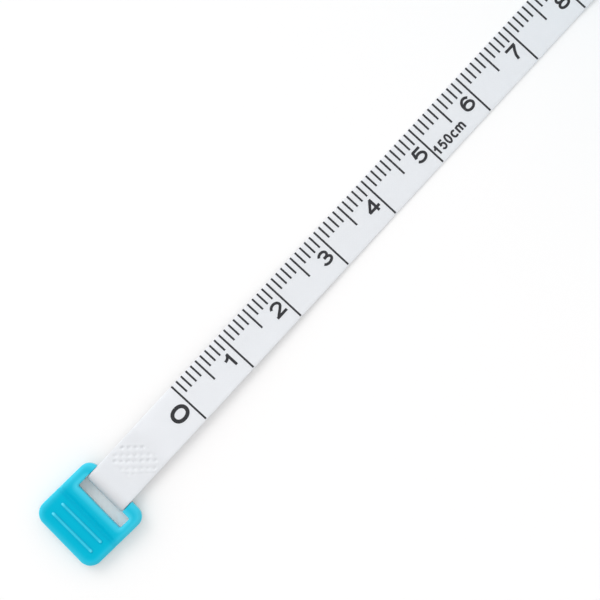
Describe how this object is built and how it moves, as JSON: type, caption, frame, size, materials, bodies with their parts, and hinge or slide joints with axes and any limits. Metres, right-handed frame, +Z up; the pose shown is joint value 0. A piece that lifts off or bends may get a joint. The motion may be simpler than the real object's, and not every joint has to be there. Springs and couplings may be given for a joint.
{
  "type": "tape measure",
  "caption": "Retractable sewing tape measure: rounded case with push-button brake and sprung reel, printed coated cloth tape drawn out of a low mouth, slotted pull tab on its looped end.",
  "frame": {"origin": "on the case's flat foot, straight below the reel's axis, in the tape's middle plane", "axes": "+X along the tape from the pull tab towards the case, +Y along the reel's axis away from the button, +Z up"},
  "size_m": [0.18, 0.0184, 0.0528],
  "materials": {
    "case_plastic": "satin moulded aqua plastic",
    "tab_plastic": "satin moulded aqua plastic",
    "button_plastic": "satin moulded white plastic",
    "reel_plastic": "plain moulded grey plastic",
    "tape_cloth": "white coated cloth with a black printed scale",
    "screw_steel": "plated steel",
    "spring_steel": "blued spring steel",
    "arbor_brass": "turned brass",
    "brake_rubber": "black rubber"
  },
  "bodies": {
    "case": {"front_shell": "case_plastic", "rear_shell": "case_plastic", "case_screw_1": "screw_steel", "case_screw_2": "screw_steel", "case_screw_3": "screw_steel", "case_screw_4": "screw_steel", "arbor": "arbor_brass", "power_spring": "spring_steel", "button_spring": "spring_steel", "tape_lead": "tape_cloth"},
    "reel": {"reel_drum": "reel_plastic", "reel_cover": "reel_plastic", "tape_winding": "tape_cloth"},
    "release": {"push_button": "button_plastic", "brake_ring": "brake_rubber", "brake_plate": "button_plastic", "brake_screw": "screw_steel"},
    "tape_end": {"tape_run": "tape_cloth", "tape_loop": "tape_cloth"},
    "tab": {"pull_tab": "tab_plastic"}
  },
  "joints": [
    {"name": "tape_slide", "type": "slide", "parent": "case", "child": "tape_end", "axis": [-1, 0, 0], "range_m": [-0.1149, 1.37], "deforming": ["tape_run"]},
    {"name": "reel_spin", "type": "hinge", "parent": "case", "child": "reel", "pos_m": [0, 0, 0.02639], "axis": [0, 1, 0], "range_deg": [-301, 3580], "deforming": ["power_spring"]},
    {"name": "tab_swing", "type": "hinge", "parent": "tape_end", "child": "tab", "pos_m": [-0.14305, 0, 0.00135], "axis": [0.0384, 0.9993, 0], "range_deg": [-90, 90]},
    {"name": "button_press", "type": "slide", "parent": "case", "child": "release", "axis": [0, 1, 0], "range_m": [0, 0.001], "stiffness_N_per_m": 300, "springref_m": -0.004, "deforming": ["button_spring"]}
  ],
  "couplings": [
    {"joint": "reel_spin", "follows": "tape_slide", "rad_per_m": 45.57}
  ]
}
